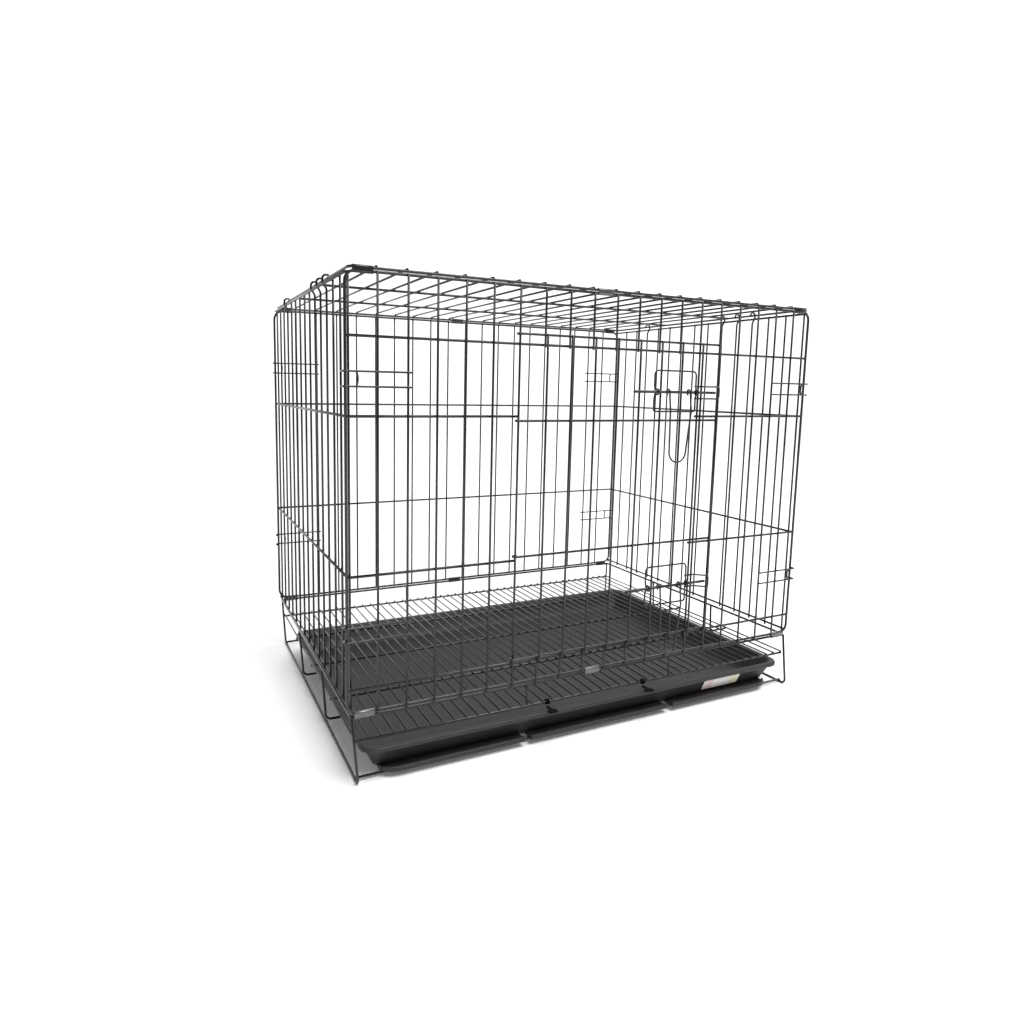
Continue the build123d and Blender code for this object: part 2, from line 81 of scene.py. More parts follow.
def length(name, description, millimetres):
    """A size that a user may change, given in millimetres."""
    size = millimetres * MM
    return FloatProperty(name=name, description=description, default=size, unit="LENGTH", subtype="DISTANCE")


def levels(name, description, millimetres):
    """Heights over the floor that a user may change, given in millimetres."""
    heights = [level * MM for level in millimetres]
    return FloatVectorProperty(
        name=name, description=description, default=heights, size=len(heights), unit="LENGTH",
    )


def colour(name, description, *rgb):
    """A colour that a user may change."""
    return FloatVectorProperty(
        name=name, description=description, default=rgb, size=3, subtype="COLOR", min=0, max=1,
    )


def share(name, description, value):
    """A number from 0 to 1 that a user may change."""
    return FloatProperty(name=name, description=description, default=value, min=0, max=1, subtype="FACTOR")


class CrateWires(bpy.types.PropertyGroup):
    """Gauges, bends and spacing of the wires."""

    upright: length("Upright", "Diameter of the panels' thin wires", 2.4)
    rail: length("Rail", "Diameter of the wires that cross the uprights", 2.8)
    outline: length("Outline", "Diameter of the wire that runs round a panel", 3.0)
    grid: length("Grid slat", "Diameter of the closely set floor wires", 2.0)
    hook: length("Hook", "Diameter of hooks, keepers, latch frames and handles", 2.0)
    door_rail: length("Door rail", "Diameter of the door's cross wires", 2.6)
    post: length("Door post", "Diameter of the wire at the door's closing side", 3.5)
    bolt: length("Bolt", "Diameter of the slide bolts", 3.2)
    play: length("Play", "Gap between a curled wire and what it turns on", 0.35)
    pitch: length("Pitch", "Distance between the uprights of the long panels", 29.85)
    corner: length("Corner bend", "Radius of the front panel outline's corners", 10.0)
    back_corner: length("Back corner bend", "Radius of the back panel outline's corners", 12.5)
    splay: length("Foot splay", "How far the feet stand out in front of and behind the rim", 6.0)
    foot_bend: length("Foot bend", "Radius of the base wires' lower bends", 7.0)
    sides: IntProperty(name="Sides", description="Faces round a wire", default=14, min=6, max=32)
    rails: levels("Front rails", "Heights of the front panel's inner rails", (97.0, 210.0, 363.0, 437.0))
    end_rails: levels("End rails", "Heights of the end panels' cross wires", (76.0, 210.0, 363.0, 493.58))
    door_rails: levels("Door rails", "Heights of the door's cross wires", (101.5, 215.0, 358.5, 447.0))


class CrateFinishes(bpy.types.PropertyGroup):
    """Colours and gloss of what the crate is made of."""

    coat: colour("Powder coat", "Black coat on every wire", 0.004, 0.004, 0.0043)
    coat_gloss: share("Coat roughness", "Roughness of the powder coat", 0.22)
    dust: colour("Dust", "Tint of the dust that settles on the wires and the tray", 0.16, 0.15, 0.14)
    zinc: colour("Clip steel", "Darkened plating of the clips", 0.16, 0.16, 0.163)
    tray: colour("Tray", "Charcoal plastic of the tray", 0.0185, 0.0165, 0.0163)
    tray_gloss: share("Tray roughness", "Roughness of the tray's plastic", 0.48)
    paper: colour("Label", "Paper of the tray's label", 0.86, 0.85, 0.82)
    catch: colour("Catch", "Black plastic of the tray catches", 0.003, 0.003, 0.003)


class CrateStage(bpy.types.PropertyGroup):
    """Floor, light and camera."""

    floor: colour("Floor", "Pale floor", 0.90, 0.90, 0.90)
    sky: FloatProperty(name="Sky", description="Strength of the white surroundings", default=1.3, min=0)
    zenith: share("Overhead share", "Brightness overhead, as a share of the horizon's", 0.3)
    front: share("Front share", "Brightness in front of the crate, as a share of that behind it", 0.3)
    key: FloatProperty(
        name="Key light", description="Power of the large soft light", default=92.0, min=0, unit="POWER",
    )
    fill: FloatProperty(
        name="Fill light", description="Power of the light across from it", default=34.0, min=0, unit="POWER",
    )
    eye: FloatVectorProperty(
        name="Camera", description="Where it stands", default=(-0.4552, -0.8300, 0.3916), unit="LENGTH",
    )
    turn: FloatVectorProperty(
        name="Camera turn", description="Yaw from +Y towards +X, pitch and roll of the camera",
        default=[math.radians(angle) for angle in (26.28, -7.10, 1.14)], unit="ROTATION",
    )
    lens: FloatProperty(
        name="Lens", description="Focal length on a 36 mm sensor", default=24.25, subtype="DISTANCE_CAMERA",
    )
    shift: FloatVectorProperty(name="Shift", description="Lens shift", default=(0.0157, -0.0371), size=2)


# ------------------------------------------------------------------ shader maths

class Signal:
    """A value that runs through a finish: an output socket that can be used in sums."""

    def __init__(self, finish, socket):
        self.finish = finish
        self.socket = socket

    def sum(self, operation, *values):
        return self.finish.node("ShaderNodeMath", {"operation": operation}, values)

    def __add__(self, other):
        return self.sum("ADD", self, other)

    def __sub__(self, other):
        return self.sum("SUBTRACT", self, other)

    def __rsub__(self, other):
        return self.sum("SUBTRACT", other, self)

    def __mul__(self, other):
        return self.sum("MULTIPLY", self, other)

    def __pow__(self, other):
        return self.sum("POWER", self, other)

    def __gt__(self, other):
        return self.sum("GREATER_THAN", self, other)

    def __lt__(self, other):
        return self.sum("LESS_THAN", self, other)

    __radd__ = __add__
    __rmul__ = __mul__

    def clamped(self):
        return self.finish.node("ShaderNodeClamp", {}, {"Value": self})


class Finish:
    """A procedural material with one main shader."""

    def __init__(self, name, **constants):
        self.material = bpy.data.materials.new(name)
        self.material.use_nodes = True
        self.tree = self.material.node_tree
        self.shader = self.tree.nodes["Principled BSDF"]
        for socket, value in constants.items():
            self.shader.inputs[socket.replace("_", " ")].default_value = value
        self.place = self.node("ShaderNodeTexCoord", output="Object")

    def node(self, kind, settings=None, values=None, output=0):
        """A node of that kind, with its settings, then its sockets' values or links."""
        node = self.tree.nodes.new(kind)
        for setting, value in (settings or {}).items():
            setattr(node, setting, value)
        pairs = values.items() if isinstance(values, dict) else enumerate(values or ())
        for socket, value in pairs:
            self.feed(node.inputs[socket], value)
        return Signal(self, node.outputs[output])

    def feed(self, socket, value):
        """Link a signal to a socket, or set the socket's value."""
        if isinstance(value, Signal):
            self.tree.links.new(value.socket, socket)
        elif socket.type == "RGBA":
            socket.default_value = (*value, 1.0)
        else:
            socket.default_value = value

    def noise(self, scale, detail=2.0, stretch=(1, 1, 1)):
        """Soft noise with features about 1 / scale metres wide."""
        where = self.node("ShaderNodeVectorMath", {"operation": "MULTIPLY"}, (self.place, stretch))
        values = {"Vector": where, "Scale": scale, "Detail": detail}
        return self.node("ShaderNodeTexNoise", {}, values, "Fac")

    def cells(self, scale):
        """Random grey per crystal, with crystals about 1 / scale metres wide."""
        shade = self.node("ShaderNodeTexVoronoi", {}, {"Vector": self.place, "Scale": scale}, "Color")
        return self.node("ShaderNodeSeparateColor", {}, {"Color": shade}, "Red")

    def mix(self, factor, first, second):
        """Blend of two colours, of the first at factor 0."""
        return self.node("ShaderNodeMix", {"data_type": "RGBA"}, {0: factor, 6: first, 7: second}, 2)

    def upward(self):
        """1 on faces that look up, 0 on upright and hanging ones."""
        normal = self.node("ShaderNodeNewGeometry", output="Normal")
        return self.node("ShaderNodeSeparateXYZ", {}, {"Vector": normal}, "Z").clamped()

    def bump(self, height, distance, strength=1.0):
        """Feed the shader's normal with a height in metres."""
        values = {"Height": height, "Distance": distance, "Strength": strength}
        self.set("Normal", self.node("ShaderNodeBump", {}, values, "Normal"))

    def set(self, socket, value):
        self.feed(self.shader.inputs[socket], value)


class Surroundings(Finish):
    """The world's brightness by direction, made with the same sums as a finish."""

    def __init__(self, name):
        self.world = bpy.data.worlds.new(name)
        self.world.use_nodes = True
        self.tree = self.world.node_tree
        self.shader = self.tree.nodes["Background"]
        self.shader.inputs["Color"].default_value = (1.0, 1.0, 1.0, 1.0)
        self.place = self.node("ShaderNodeTexCoord", output="Generated")

    def height(self):
        return self.node("ShaderNodeSeparateXYZ", {}, {"Vector": self.place}, "Z")

    def towards(self, direction):
        """1 in that direction, -1 in the opposite one."""
        dot = {"operation": "DOT_PRODUCT"}
        return self.node("ShaderNodeVectorMath", dot, (self.place, direction), "Value")

    def eased(self, value, start, end, low, high):
        """A value that eases from low to high between start and end."""
        bounds = {
            "Value": value, "From Min": start, "From Max": end, "To Min": low, "To Max": high,
        }
        return self.node("ShaderNodeMapRange", {"interpolation_type": "SMOOTHSTEP"}, bounds)


def powder_coat(finishes):
    """Black powder coat: orange-peel skin, a little uneven in gloss, with dust on top."""
    coat = Finish("powder_coat", IOR=1.5, Specular_IOR_Level=0.55)
    thickness = coat.noise(90.0, 3.0)
    settled = coat.upward() ** 3.0 * coat.noise(240.0, 4.0) * 0.16
    tint = coat.mix(thickness, finishes.coat, [1.9 * channel for channel in finishes.coat])
    coat.set("Base Color", coat.mix(settled, tint, finishes.dust))
    coat.set("Roughness", finishes.coat_gloss - 0.07 + thickness * 0.14 + settled * 0.5)
    coat.bump(coat.noise(900.0, 2.0), 0.00006, 0.6)
    return coat.material


def darkened_zinc(finishes):
    """Zinc-plated strip: fine crystals, rolling marks along its length and dull patches."""
    zinc = Finish("darkened_zinc", Metallic=1.0)
    crystals = zinc.cells(900.0)
    rolled = zinc.noise(2600.0, 2.0, (0.04, 1, 1))
    dull = zinc.noise(160.0, 3.0)
    tint = zinc.mix(dull, finishes.zinc, [0.62 * channel for channel in finishes.zinc])
    zinc.set("Base Color", zinc.mix(crystals * 0.08, tint, (0.6, 0.6, 0.62)))
    zinc.set("Roughness", 0.20 + dull * 0.22 + rolled * 0.10)
    zinc.bump(rolled, 0.00003, 0.5)
    return zinc.material


def charcoal_plastic(finishes):
    """Pressed charcoal plastic: fine grain, faint scuffs and a film of dust."""
    plastic = Finish("charcoal_plastic", IOR=1.5, Specular_IOR_Level=0.4)
    scuffs = plastic.noise(38.0, 5.0, (1, 3.0, 1))
    scratched = (scuffs > 0.62) * plastic.noise(900.0, 3.0, (0.06, 1, 1)) * 0.25
    film = plastic.upward() * plastic.noise(26.0, 4.0) * 0.05
    tint = plastic.mix(scuffs * 0.5, finishes.tray, [1.7 * channel for channel in finishes.tray])
    plastic.set("Base Color", plastic.mix(film + scratched * 0.3, tint, finishes.dust))
    plastic.set("Roughness", finishes.tray_gloss + scuffs * 0.08 + scratched * 0.4)
    plastic.bump(plastic.noise(1500.0, 2.0), 0.00005, 0.5)
    return plastic.material


def label_paper(finishes):
    """Coated paper with two pale printed fields and a fine fibre grain."""
    paper = Finish("label_paper")
    along = paper.node("ShaderNodeSeparateXYZ", {}, {"Vector": paper.place}, "X")
    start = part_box("tray_label")[0][0]
    pink = (along > start + 2.5 * MM) * (along < start + 16 * MM)
    yellow = (along > start + 45 * MM) * (along < start + 57.5 * MM)
    fibres = paper.noise(700.0, 3.0)
    tint = paper.mix(pink * 0.8, finishes.paper, (0.80, 0.56, 0.55))
    tint = paper.mix(yellow * 0.8, tint, (0.84, 0.78, 0.50))
    paper.set("Base Color", paper.mix(fibres * 0.18, tint, (0.6, 0.6, 0.6)))
    paper.set("Roughness", 0.42 + fibres * 0.15)
    paper.bump(fibres, 0.00003, 0.4)
    return paper.material


def moulded_catch(finishes):
    """Moulded black plastic with a spark-eroded skin."""
    moulding = Finish("moulded_catch", IOR=1.46, Specular_IOR_Level=0.05)
    skin = moulding.noise(1800.0, 3.0)
    moulding.set("Base Color", moulding.mix(skin * 0.5, finishes.catch, (0.008, 0.008, 0.008)))
    moulding.set("Roughness", 0.62 + skin * 0.15)
    moulding.bump(skin, 0.00005, 0.6)
    return moulding.material


def floor_paint(stage):
    """Matt pale floor, hardly uneven, with a painted glow that grows further out, like a light table lit from
    beneath.
    """
    paint = Finish("pale_floor_painted_glow", Emission_Strength=1.0)
    drift = paint.noise(2.0, 2.0)
    # Painted glow: the floor's emission rises from 0.08 near the crate to 0.7 further out, so the far floor
    # reads white.
    distance = paint.node("ShaderNodeVectorMath", {"operation": "LENGTH"}, (paint.place,), "Value")
    far = ((distance - 0.5) * 0.35).clamped()
    paint.set("Emission Color", paint.mix(far, (0.08, 0.08, 0.08), (0.7, 0.7, 0.7)))
    paint.set("Base Color", paint.mix(drift, stage.floor, [0.985 * channel for channel in stage.floor]))
    paint.set("Roughness", 0.7 + drift * 0.1)
    return paint.material


FINISHES = {
    "coated_wire": powder_coat,
    "clip_steel": darkened_zinc,
    "tray_plastic": charcoal_plastic,
    "label": label_paper,
    "catch_plastic": moulded_catch,
}


def finish(slot):
    """The material for one of the record's slots, made the first time it is asked for."""
    maker = FINISHES[slot]
    return bpy.data.materials.get(maker.__name__) or maker(bpy.context.scene.crate_finishes)


# ------------------------------------------------------------------ wire bending

def bend(route, radius, closed=False, steps=6):
    """Points of a wire bent along a route of straight runs, with a radius or one per corner."""
    corners = [Vector(point) for point in route]
    inner = range(len(corners)) if closed else range(1, len(corners) - 1)
    radii = radius if isinstance(radius, (list, tuple)) else [radius] * len(inner)
    points = [] if closed else [corners[0]]
    for index, wanted in zip(inner, radii):
        corner = corners[index]
        back = corners[index - 1] - corner
        ahead = corners[(index + 1) % len(corners)] - corner
        half = back.angle(ahead) / 2
        reach = min(wanted / math.tan(half), back.length * 0.49, ahead.length * 0.49)
        hub = corner + (back.normalized() + ahead.normalized()).normalized() * reach / math.cos(half)
        spoke = corner + back.normalized() * reach - hub
        axis = ahead.cross(back)
        for step in range(steps + 1):
            turn = Matrix.Rotation(-(math.pi - 2 * half) * step / steps, 3, -axis)
            points.append(hub + turn @ spoke)
    return points if closed else points + [corners[-1]]


def arc(hub, across, up, radius, start, end, steps=14):
    """Points of an arc round hub, from start to end in degrees, in the plane of two directions."""
    angles = [math.radians(start + (end - start) * step / steps) for step in range(steps + 1)]
    across, up = Vector(across), Vector(up)
    spokes = [math.cos(angle) * across + math.sin(angle) * up for angle in angles]
    return [Vector(hub) + radius * spoke for spoke in spokes]


def skin(mesh, rings):
    """Quads from each ring of vertices to the next."""
    faces = []
    for near, far in zip(rings, rings[1:]):
        for index in range(len(near)):
            beside = (index + 1) % len(near)
            faces.append(mesh.faces.new((near[index], near[beside], far[beside], far[index])))
    return faces


def solid_skin(mesh, rings):
    """Quads from ring to ring, and a face over the first ring and the last."""
    skin(mesh, rings)
    mesh.faces.new(rings[0])
    mesh.faces.new(rings[-1])


def wire(mesh, points, diameter, closed=False):
    """Sweep a round wire along points. Open wires have cropped ends with broken edges."""
    sides = bpy.context.scene.crate_wires.sides
    radius = diameter / 2
    points = [Vector(point) for point in points]
    radii = [radius] * len(points)
    if not closed:
        nib = 0.3 * radius
        first = (points[1] - points[0]).normalized() * nib
        last = (points[-2] - points[-1]).normalized() * nib
        points = [points[0], points[0] + first, *points[1:-1], points[-1] + last, points[-1]]
        radii = [0.7 * radius, *([radius] * (len(points) - 2)), 0.7 * radius]
    count = len(points)
    rings, normal, tangent = [], None, None
    for index, (point, reach) in enumerate(zip(points, radii)):
        before = points[index - 1] if closed or index else point
        after = points[(index + 1) % count] if closed or index + 1 < count else point
        heading = ((after - point).normalized() + (point - before).normalized()).normalized()
        if normal is None:
            normal = heading.orthogonal().normalized()
        else:
            normal = tangent.rotation_difference(heading) @ normal
        tangent = heading
        binormal = heading.cross(normal)
        ring = []
        for side in range(sides):
            spoke = 2 * math.pi * side / sides
            offset = math.cos(spoke) * normal + math.sin(spoke) * binormal
            ring.append(mesh.verts.new(point + reach * offset))
        rings.append(ring)
    skin(mesh, [*rings, rings[0]] if closed else rings)
    if not closed:
        mesh.faces.new(reversed(rings[0]))
        mesh.faces.new(rings[-1])


def weld(mesh, place, size):
    """The fillet of metal and coat where two wires are welded: a small flattened bead."""
    shape = Matrix.Translation(place) @ Matrix.Diagonal((*size, 1.0))
    bmesh.ops.create_icosphere(mesh, subdivisions=2, radius=1.0, matrix=shape)


def finished_piece(name, mesh, body, nodes, slot, extra=()):
    """Turn a built mesh into a named piece that rides a body in place of its CAD nodes."""
    bmesh.ops.recalc_face_normals(mesh, faces=mesh.faces)
    data = bpy.data.meshes.new(name)
    mesh.to_mesh(data)
    mesh.free()
    data.polygons.foreach_set("use_smooth", [True] * len(data.polygons))
    data.set_sharp_from_angle(angle=math.radians(48))
    for material in (slot, *extra):
        data.materials.append(finish(material))
    piece = bpy.data.objects.new(name, data)
    bpy.context.collection.objects.link(piece)
    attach(piece, body)
    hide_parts(*nodes)
    return piece


def box_of(node):
    """Low and high corner of a CAD node's box."""
    return [Vector(corner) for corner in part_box(node)]


def middle(node):
    """Middle of a CAD node's box."""
    low, high = box_of(node)
    return (low + high) / 2


class Lines:
    """The lines that several parts share, read from the boxes of the CAD nodes."""

    def __init__(self, wires):
        front_low, front_high = box_of("front_panel")
        back_low, back_high = box_of("back_panel")
        roof_low, roof_high = box_of("top_panel")
        rim_low, rim_high = box_of("base_rim")
        self.front_upright_y = front_low.y + wires.upright / 2
        self.front_rail_y = front_high.y - wires.rail / 2
        self.back_upright_y = back_high.y - wires.upright / 2
        self.back_rail_y = back_low.y + wires.rail / 2
        self.edge_x = front_high.x - wires.outline / 2
        self.foot_z = front_low.z + wires.rail / 2
        self.head_z = front_high.z - wires.rail / 2
        self.roof_z = roof_low.z + wires.rail / 2
        self.roof_wire_z = roof_high.z - wires.upright / 2
        self.end_x = roof_high.x - wires.rail / 2
        self.rim_z = (rim_low.z + rim_high.z) / 2
        self.upright_xs = [index * wires.pitch for index in range(-9, 10)]
        self.cross_ys = [self.between(step / 3) for step in range(4)]

    def between(self, part):
        """A y between the front rails, at part 0, and the back rails, at part 1."""
        return self.front_rail_y + part * (self.back_rail_y - self.front_rail_y)


# ------------------------------------------------------------------ base and floor grid

class CRATE_OT_base(bpy.types.Operator):
    """Bend the base: two long feet, four cross wires turned up at their ends, and the rim"""

    bl_idname = "crate.base"
    bl_label = "Base"

    def execute(self, context):
        wires = context.scene.crate_wires
        lines = Lines(wires)
        mesh = bmesh.new()
        front, back, x = lines.front_rail_y, lines.back_rail_y, lines.end_x
        ground = wires.rail / 2
        cross_z = ground + wires.rail
        feet = (-x + FOOT_LEAN[0], x + FOOT_LEAN[1])
        for top_x, foot_x in zip((-x, x), feet):
            toe, heel = front - wires.splay, back + wires.splay
            foot = [
                (top_x, front, lines.rim_z), (foot_x, toe, ground),
                (foot_x, heel, ground), (top_x, back, lines.rim_z),
            ]
            wire(mesh, bend(foot, 0.8 * wires.foot_bend), wires.rail)
        for y in (front + CROSS_INSET, back - CROSS_INSET):
            wire(mesh, [(feet[0], y, cross_z), (feet[1], y, cross_z)], wires.rail)
            for foot_x in feet:
                weld(mesh, (foot_x, y, wires.rail), (0.0018, 0.0018, 0.0009))
        for y in lines.cross_ys[1:3]:
            route = [
                (-x, y, lines.rim_z), (feet[0], y, cross_z), (feet[1], y, cross_z), (x, y, lines.rim_z),
            ]
            wire(mesh, bend(route, wires.foot_bend), wires.rail)
            for foot_x in feet:
                weld(mesh, (foot_x, y, wires.rail), (0.0016, 0.0016, 0.0007))
        rim = [(-x, front), (x, front), (x, back), (-x, back)]
        rim = [(*corner, lines.rim_z) for corner in rim]
        wire(mesh, bend(rim, 0.5 * wires.corner, closed=True), wires.outline, closed=True)
        grid_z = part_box("floor_grid")[0][2] + wires.rail
        left_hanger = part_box("grid_hangers")[0][0] + wires.upright / 2
        right_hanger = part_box("grid_hangers")[1][0] - wires.upright / 2
        for hanger_x in (left_hanger, right_hanger):
            for y in (front, back):
                wire(mesh, [(hanger_x, y, grid_z), (hanger_x, y, lines.rim_z)], wires.upright)
                weld(mesh, (hanger_x, y, lines.rim_z - wires.outline / 2), (0.0017, 0.0014, 0.0008))
        nodes = ("base_runners", "base_legs", "base_cross_wires", "base_rim", "grid_hangers")
        finished_piece("base_wires", mesh, "root", nodes, "coated_wire")
        return {"FINISHED"}


class CRATE_OT_floor_grid(bpy.types.Operator):
    """Lay the close floor slats over their five cross wires"""

    bl_idname = "crate.floor_grid"
    bl_label = "Floor grid"

    def execute(self, context):
        wires = context.scene.crate_wires
        lines = Lines(wires)
        low, high = box_of("floor_grid")
        mesh = bmesh.new()
        rail_z = low.z + wires.rail / 2
        slat_z = high.z - wires.grid / 2
        half = high.x - wires.grid
        rail_ys = [lines.between(bay / 4) for bay in range(5)]
        for y in rail_ys:
            wire(mesh, [(low.x, y, rail_z), (high.x, y, rail_z)], wires.rail)
        for index in range(SLATS):
            x = half * (2 * index / (SLATS - 1) - 1)
            wire(mesh, [(x, low.y, slat_z), (x, high.y, slat_z)], wires.grid)
            for y in rail_ys:
                weld(mesh, (x, y, slat_z - wires.grid / 2), SLAT_BEAD)
        finished_piece("floor_grid_wires", mesh, "root", ("floor_grid",), "coated_wire")
        return {"FINISHED"}


# ------------------------------------------------------------------ front, back, roof and ends

class CRATE_OT_front_panel(bpy.types.Operator):
    """Build the front panel: an outline bent from one wire, rails, and uprights round the doorway"""

    bl_idname = "crate.front_panel"
    bl_label = "Front panel"

    def execute(self, context):
        wires = context.scene.crate_wires
        lines = Lines(wires)
        mesh = bmesh.new()
        y, rail_y = lines.front_upright_y, lines.front_rail_y
        foot, head = lines.foot_z, lines.head_z
        sill, low_rail, mid_rail, door_head = wires.rails
        jamb = 4 * wires.pitch
        reach = lines.edge_x - wires.outline / 2
        panel_outline(mesh, wires, lines, rail_y, wires.corner)
        spans = [(sill, -reach, reach), (door_head, -reach, reach)]
        for z in (low_rail, mid_rail):
            spans += [(z, -reach, -jamb + wires.upright / 2), (z, jamb - wires.upright / 2, reach)]
        for z, left, right in spans:
            wire(mesh, [(left, rail_y, z), (right, rail_y, z)], wires.rail)
        for x in lines.upright_xs:
            if abs(x) > jamb - wires.upright:
                runs = [(foot, head)]
            else:
                runs = [(foot, sill + wires.rail / 2), (door_head - wires.rail / 2, head)]
            for start, end in runs:
                above = 0 if end == head else wires.rail / 2
                wire(mesh, [(x, y, start - wires.rail / 2), (x, y, end + above)], wires.upright)
            for z in (foot, head):
                weld(mesh, (x, (y + rail_y) / 2, z), PANEL_BEAD)
            for z, left, right in spans:
                if left - wires.upright < x < right + wires.upright:
                    weld(mesh, (x, (y + rail_y) / 2, z), PANEL_BEAD)
        finished_piece("front_panel_wires", mesh, "root", ("front_panel",), "coated_wire")
        return {"FINISHED"}


def panel_outline(mesh, wires, lines, rail_y, corner):
    """The wire bent right round a long panel."""
    x, foot, head = lines.edge_x, lines.foot_z, lines.head_z
    route = [(-x, rail_y, foot), (x, rail_y, foot), (x, rail_y, head), (-x, rail_y, head)]
    wire(mesh, bend(route, corner, closed=True), wires.outline, closed=True)


class CRATE_OT_back_panel(bpy.types.Operator):
    """Build the back panel: an outline, two rails and full-height uprights"""

    bl_idname = "crate.back_panel"
    bl_label = "Back panel"

    def execute(self, context):
        wires = context.scene.crate_wires
        lines = Lines(wires)
        mesh = bmesh.new()
        y, rail_y = lines.back_upright_y, lines.back_rail_y
        reach = lines.edge_x - wires.outline / 2
        panel_outline(mesh, wires, lines, rail_y, wires.back_corner)
        for z in wires.rails[1:3]:
            wire(mesh, [(-reach, rail_y, z), (reach, rail_y, z)], wires.rail)
        for x in lines.upright_xs:
            wire(mesh, [(x, y, lines.foot_z - wires.rail / 2), (x, y, lines.head_z)], wires.upright)
            for z in (lines.foot_z, *wires.rails[1:3], lines.head_z):
                weld(mesh, (x, (y + rail_y) / 2, z), PANEL_BEAD)
        finished_piece("back_panel_wires", mesh, "root", ("back_panel",), "coated_wire")
        return {"FINISHED"}


class CRATE_OT_roof(bpy.types.Operator):
    """Build the roof: its outline, two long rails and nineteen wires across"""

    bl_idname = "crate.roof"
    bl_label = "Roof"

    def execute(self, context):
        wires = context.scene.crate_wires
        lines = Lines(wires)
        mesh = bmesh.new()
        front, back, x, z = lines.front_rail_y, lines.back_rail_y, lines.end_x, lines.roof_z
        outline = [(-x, front, z), (x, front, z), (x, back, z), (-x, back, z)]
        corners = [0.4 * wires.corner] * 2 + [0.9 * wires.corner] * 2
        wire(mesh, bend(outline, corners, closed=True), wires.rail, closed=True)
        for y in lines.cross_ys[1:3]:
            wire(mesh, [(-x + wires.rail / 2, y, z), (x - wires.rail / 2, y, z)], wires.rail)
        for wire_x in lines.upright_xs:
            top = lines.roof_wire_z - 0.5 * MM
            wire(mesh, [(wire_x, front, top), (wire_x, back, top)], wires.upright)
            for y in lines.cross_ys:
                weld(mesh, (wire_x, y, (z + top) / 2), SLAT_BEAD)
        finished_piece("roof_wires", mesh, "root", ("top_panel",), "coated_wire")
        return {"FINISHED"}


class CRATE_OT_end_panels(bpy.types.Operator):
    """Build both end panels, with four uprights on each curled over the roof's side wire"""

    bl_idname = "crate.end_panels"
    bl_label = "End panels"

    def execute(self, context):
        wires = context.scene.crate_wires
        lines = Lines(wires)
        for name, side in (("left", -1), ("right", 1)):
            mesh = bmesh.new()
            low, high = box_of(f"{name}_end_panel")
            x = side * lines.end_x
            rail_x = x + side * (wires.upright + wires.rail) / 2
            head = high.z
            ring = (wires.rail + wires.upright) / 2 + 1.6 * MM
            for z in wires.end_rails:
                wire(mesh, [(rail_x, low.y, z), (rail_x, high.y, z)], wires.rail)
            for index in range(END_UPRIGHTS):
                span = high.y - low.y - wires.upright
                y = low.y + wires.upright / 2 + span * index / (END_UPRIGHTS - 1)
                route = [(x, y, low.z), (x, y, head)]
                if END_UPRIGHTS - 1 - index in HOOKED_UPRIGHTS:
                    stem = [
                        (x, y, low.z), (x, y, lines.roof_z - 10 * MM),
                        (x + side * ring, y, lines.roof_z - 3 * MM), (x + side * ring, y, lines.roof_z),
                    ]
                    hub = (x, y, lines.roof_z)
                    route = bend(stem, 3 * MM)[:-1] + arc(hub, (side, 0, 0), (0, 0, 1), ring, 0, 205)
                wire(mesh, route, wires.upright)
                for z in wires.end_rails:
                    weld(mesh, ((x + rail_x) / 2, y, z), END_BEAD)
            nodes = (f"{name}_end_panel", f"{name}_end_hinge_eyes")
            finished_piece(f"{name}_end_wires", mesh, f"{name}_end", nodes, "coated_wire")
        return {"FINISHED"}


class CRATE_OT_corner_hooks(bpy.types.Operator):
    """Bend the pairs of hooks that hold the end panels, each pair tied by a short bowed wire"""

    bl_idname = "crate.corner_hooks"
    bl_label = "Corner hooks"

    def execute(self, context):
        wires = context.scene.crate_wires
        for name, outward in (("front", -1), ("back", 1)):
            low, high = box_of(f"{name}_corner_hooks")
            mesh = bmesh.new()
            hook_y = (low.y if outward < 0 else high.y) - outward * wires.hook / 2
            tip_y = (high.y if outward < 0 else low.y)
            margin = HOOK_GAUGE + wires.hook / 2
            centres = (low.z + margin, high.z - margin)
            outer, inner = high.x - wires.hook / 2, 235 * MM
            for side in (-1, 1):
                for level in centres:
                    for z in (level - HOOK_GAUGE, level + HOOK_GAUGE):
                        leg = [(side * inner, hook_y), (side * outer, hook_y), (side * outer, tip_y)]
                        leg = [(*corner, z) for corner in leg]
                        wire(mesh, bend(leg, 2 * MM), wires.hook)
                        for upright in (239, 269):
                            place = (side * upright * MM, hook_y - outward * wires.hook / 2, z)
                            weld(mesh, place, HOOK_BEAD)
                    hub = (side * 305 * MM, hook_y, level)
                    bow = arc(hub, (-side, 0, 0), (0, 0, 1), 17 * MM, -24, 24, 10)
                    wire(mesh, bow, wires.hook)
            nodes = (f"{name}_corner_hooks",)
            finished_piece(f"{name}_corner_hook_wires", mesh, "root", nodes, "coated_wire")
        return {"FINISHED"}


# ------------------------------------------------------------------ clips

